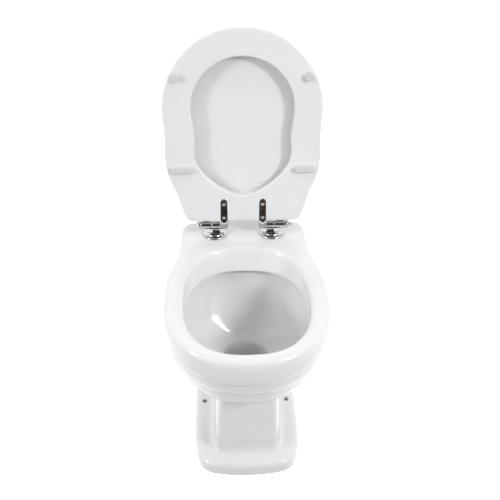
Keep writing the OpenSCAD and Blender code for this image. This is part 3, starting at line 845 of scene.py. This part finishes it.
def screw_head(x, y, face):
    """A domed screw head with a cross recess, looking down from the face of a plate."""
    place = RAISED @ Matrix.Translation((x, y, face)) @ Matrix.Rotation(math.pi, 4, "X")
    dome = [(3.7, -0.9), (3.95, -0.3), (3.8, 0.1), (3.0, 0.42), (1.8, 0.6), (0.4, 0.66)]
    head = lathe("head", dome, place, 40, 50)
    cutters = []
    for turn in (math.radians(25), math.radians(115)):
        c, s = math.cos(turn), math.sin(turn)
        outline = [(u * c - v * s, u * s + v * c) for u, v in box_outline(0, 1.9, -0.35, 0.35)]
        verts, faces = loft([at_height(outline, z) for z in (-0.1, 2)], cap_start=True, cap_end=True)
        cutters.append(new_object("slot", verts, faces, place, 30))
    cut(head, cutters)
    return with_material(head, SCREW)


def knuckle_block(side):
    """The seat's knuckle: round at the back, with a flat front that goes on from the strap."""
    turns = [math.radians(a) for a in range(-55, 171, 9)]
    back = [(BARREL_R * math.cos(a), BARREL_R * math.sin(a)) for a in turns]
    front = [(-10.4, -2.6), (-12.2, -4.4), (-12.7, -6.0), (-12.7, -12.6), (-12.0, -14.0),
             (-10.6, -14.55), (-2.0, -14.55), (0.6, -13.9), (2.6, -12.6), (4.2, -10.4)]
    place = RAISED @ mirror_of(side) @ side_on(KNUCKLE_FROM)
    return with_material(rounded_prism("strap_knuckle", back + front, 0, KNUCKLE_W, 0.5, place, 3, 40),
                         CHROME)


def make_straps(side, word):
    place = RAISED @ mirror_of(side)
    plate = strap_plate(STRAP_X, SEAT_UNDER - 0.6, SEAT_UNDER + 3.2, place)
    strap = joined([plate, knuckle_block(side)], "seat_strap_chrome_" + word)
    settle(strap, "chrome", "seat", "seat_strap_" + word)
    plate = strap_plate(LID_STRAP_X, LID_UNDER - 0.5, LID_UNDER + 3.6, place)
    turned = barrel("knuckle", LID_KNUCKLE_FROM, LID_KNUCKLE_TO, BARREL_R, place)
    bridge = rounded_prism("bridge", box_outline(LID_STRAP_X, 9.3, -12.9, -1), 2, 10, 1, place)
    strap = joined([plate, turned, with_material(bridge, CHROME)], "lid_strap_chrome_" + word)
    settle(strap, "chrome", "lid", "lid_strap_" + word)


def make_pillar(side, word):
    flip = mirror_of(side)
    sleeve = barrel("sleeve", SLEEVE_FROM, SLEEVE_TO, BARREL_R, HINGE @ flip)
    neck = rounded_prism("neck", box_outline(PILLAR_X, 8.8, AXIS.y - 6.8, AXIS.y + 6.8),
                         BASE_Z + 5.5, AXIS.z - 3, 1.2, flip, 3)
    hub = rounded_prism("hub", turned_across(stadium(-AXIS.y, 45, 85, 10, 16)),
                        BASE_Z + 5.02, BASE_Z + 7.4, 0.8, flip, 4)
    stem = lathe("stem", [(STEM_R, 3.2), (STEM_R, 5.4)],
                 flip @ Matrix.Translation((PILLAR_X, AXIS.y, BASE_Z)), 48)
    pieces = [sleeve] + [with_material(piece, CHROME) for piece in (neck, hub, stem)]
    settle(joined(pieces, "hinge_pillar_chrome_" + word), "chrome", "pan", "hinge_pillar_" + word)


def make_cap(side, word):
    place = HINGE @ mirror_of(side)
    cap = barrel("cap", CAP_FROM, CAP_TO, CAP_R, place, 1.1)
    tip = barrel("cap_tip", TIP_FROM, TIP_TO, TIP_R, place, 1.0)
    settle(joined([cap, tip], "hinge_cap_chrome_" + word), "chrome", "pan", "hinge_cap_" + word)


def make_rosette(side, word):
    profile = [(STEM_R, 3.4), (STEM_R, 4.4), (10.2, 5.0), (16.4, 5.0), (17.4, 4.5), (18.0, 3.4),
               (18.8, 2.4), (20.0, 2.3), (21.0, 2.8), (22.0, 3.0), (26.2, 2.9), (27.3, 2.5),
               (28.0, 1.3), (27.9, 0.1), (22.4, 0.1)]
    place = mirror_of(side) @ Matrix.Translation((ROSETTE_X, AXIS.y, BASE_Z))
    cover = lathe("rosette_chrome_" + word, profile, place, 96, 40, caps=False)
    finish_piece(cover, CHROME, "chrome", "pan", "rosette_" + word)


def make_button():
    knob = barrel("knob", KNOB_FROM, KNOB_TO, KNOB_R, HINGE, 0.9)
    shaft = lathe("shaft", [(SHAFT_R, 0), (SHAFT_R, SHAFT_LONG)], along_x(HINGE, SHAFT_FROM), 32)
    button = joined([knob, with_material(shaft, CHROME)], "release_button_chrome")
    settle(button, "chrome", "button", "release_button")


def make_screw_heads(body, x, face):
    heads = [screw_head(side * x, -s, face) for side in (-1, 1) for s in SCREWS_AT]
    settle(joined(heads, body + "_strap_screw_heads"), "screw_steel", body, body + "_strap_screws")


def make_hinges():
    for side, word in SIDES:
        make_straps(side, word)
        make_pillar(side, word)
        make_cap(side, word)
        make_rosette(side, word)
    make_button()
    make_screw_heads("seat", STRAP_X, SEAT_UNDER - 0.2)
    make_screw_heads("lid", LID_STRAP_X, LID_UNDER - 0.1)


# ---------------------------------------------------------------- the CAD nodes
FINISHES = (("base_gasket", BLACK), ("deck_bush", BLACK), ("wing_nut", NYLON), ("screws", SCREW),
            ("fixing_bolt", BOLT), ("strap", CHROME), ("buffer", CLEAR), ("seat", LACQUER),
            ("lid", LACQUER), ("pan", CHINA))


def finish_nodes():
    """Each CAD node takes the finish of the first word that its name holds, or else chrome."""
    for name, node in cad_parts.items():
        finish = next((material for word, material in FINISHES if word in name), CHROME)
        if not node.material_slots:
            node.data.materials.append(finish)
        for place in node.material_slots:
            place.material = finish


# ---------------------------------------------------------------- stage, lights and camera, metres
FLOOR_HALF, FLOOR_GAP, FLOOR_GLOW, FLOOR_GLOSS = 60.0, 0.0005, 0.62, 0.1
BACKDROP_R, BACKDROP_LOW, BACKDROP_HIGH, BACKDROP_GLOW, BACKDROP_GLOSS = 55.0, -1.0, 45.0, 0.95, 0.0
ROOM_DARK, ROOM_BRIGHT, ROOM_BELOW = 0.05, 1.03, 0.36
LENS, SENSOR = 52.63, 36.0
CAMERA_AT = (-0.04105, -1.33797, 1.37361)
CAMERA_LOOK = (0.0323, 0.8198, -0.5717)
CAMERA_ROLL = 0.00535


def stage_sheet(name, verts, faces, gloss, glow):
    """A pale sheet of the studio that glows a little."""
    mesh = bpy.data.meshes.new(name)
    mesh.from_pydata(verts, [], faces)
    sheet = add_object(name, mesh)
    material = principled(name, Base_Color=(0.9, 0.9, 0.9, 1), Roughness=0.9,
                          Specular_IOR_Level=gloss, Emission_Color=(1, 1, 1, 1),
                          Emission_Strength=glow)[0]
    return with_material(sheet, material)


def make_stage():
    corners = [(x, y, 0) for x, y in box_outline(0, FLOOR_HALF, -FLOOR_HALF, FLOOR_HALF)]
    floor = stage_sheet("studio_floor", corners, [(0, 1, 2, 3)], FLOOR_GLOSS, FLOOR_GLOW)
    floor.location.z = cad_box[0][2] - FLOOR_GAP
    floor.visible_diffuse = False

    # A pale wall all round, far behind everything, for the views from low down.
    ring = circle(BACKDROP_R, 60)
    verts, faces = loft([at_height(ring, z) for z in (BACKDROP_LOW, BACKDROP_HIGH)])
    backdrop = stage_sheet("backdrop", verts, faces, BACKDROP_GLOSS, BACKDROP_GLOW)
    backdrop.visible_diffuse = backdrop.visible_glossy = backdrop.visible_shadow = False


def area_light(name, location, target, size, power, turn=0.0):
    data = bpy.data.lights.new(name, "AREA")
    data.shape = "SQUARE"
    data.size = size
    data.energy = power
    light = add_object(name, data)
    light.location = location
    light.rotation_mode = "QUATERNION"
    aim = (Vector(target) - Vector(location)).to_track_quat("-Z", "Y")
    light.rotation_quaternion = aim @ Matrix.Rotation(turn, 3, "Z").to_quaternion()
    return light


def make_lights():
    eighth = math.radians(45)
    area_light("key_right", (1.65, -1.4, 1.85), (0, 0, 0.45), 0.45, 24.5, eighth)
    area_light("key_left", (-2.1, -1.05, 1.4), (0, 0, 0.4), 0.5, 18, eighth)
    overhead = area_light("overhead", (0.15, -0.25, 2.7), (0, 0, 0.4), 1.1, 8.5)
    overhead.visible_glossy = False


def make_world():
    """A room that is bright at its sides and back, dark overhead and in front, and pale below."""
    world = bpy.data.worlds.new("studio")
    world.use_nodes = True
    tree = world.node_tree
    coords = tree.nodes.new("ShaderNodeTexCoord")
    parts = tree.nodes.new("ShaderNodeSeparateXYZ")
    tree.links.new(coords.outputs["Generated"], parts.inputs[0])
    across = tree.nodes.new("ShaderNodeMath")
    across.operation = "ABSOLUTE"
    tree.links.new(parts.outputs["X"], across.inputs[0])
    room = (ROOM_DARK, ROOM_BRIGHT)
    at_sides = map_range(tree, across.outputs["Value"], (0.22, 0.62), room)
    behind = map_range(tree, parts.outputs["Y"], (0.25, 0.7), room)
    brighter = tree.nodes.new("ShaderNodeMath")
    brighter.operation = "MAXIMUM"
    tree.links.new(at_sides, brighter.inputs[0])
    tree.links.new(behind, brighter.inputs[1])
    above = map_range(tree, parts.outputs["Z"], (-0.08, 0.08), (0.0, 1.0))
    blend = tree.nodes.new("ShaderNodeMix")
    blend.data_type = "FLOAT"
    blend.inputs["A"].default_value = ROOM_BELOW
    tree.links.new(above, blend.inputs["Factor"])
    tree.links.new(brighter.outputs["Value"], blend.inputs["B"])
    background = tree.nodes["Background"]
    tree.links.new(blend.outputs["Result"], background.inputs["Strength"])
    background.inputs["Color"].default_value = (1, 1, 1, 1)
    bpy.context.scene.world = world


def make_camera():
    data = bpy.data.cameras.new("camera")
    data.sensor_width = SENSOR
    data.lens = LENS
    data.clip_start, data.clip_end = 0.05, 200
    camera = add_object("camera", data)
    forward = Vector(CAMERA_LOOK).normalized()
    level = forward.cross(Vector((0, 0, 1))).normalized()
    upright = level.cross(forward)
    c, s = math.cos(CAMERA_ROLL), math.sin(CAMERA_ROLL)
    turn = Matrix((level * c + upright * s, upright * c - level * s, -forward)).transposed()
    camera.rotation_mode = "QUATERNION"
    camera.rotation_quaternion = turn.to_quaternion()
    camera.location = CAMERA_AT
    bpy.context.scene.camera = camera


def set_view():
    view = bpy.context.scene.view_settings
    view.view_transform = "Standard"
    view.look = "None"
    view.exposure = 0
    view.gamma = 1


make_pan()
make_seat()
make_lid()
make_buffers()
make_hinges()
finish_nodes()
make_stage()
make_lights()
make_world()
set_view()
make_camera()
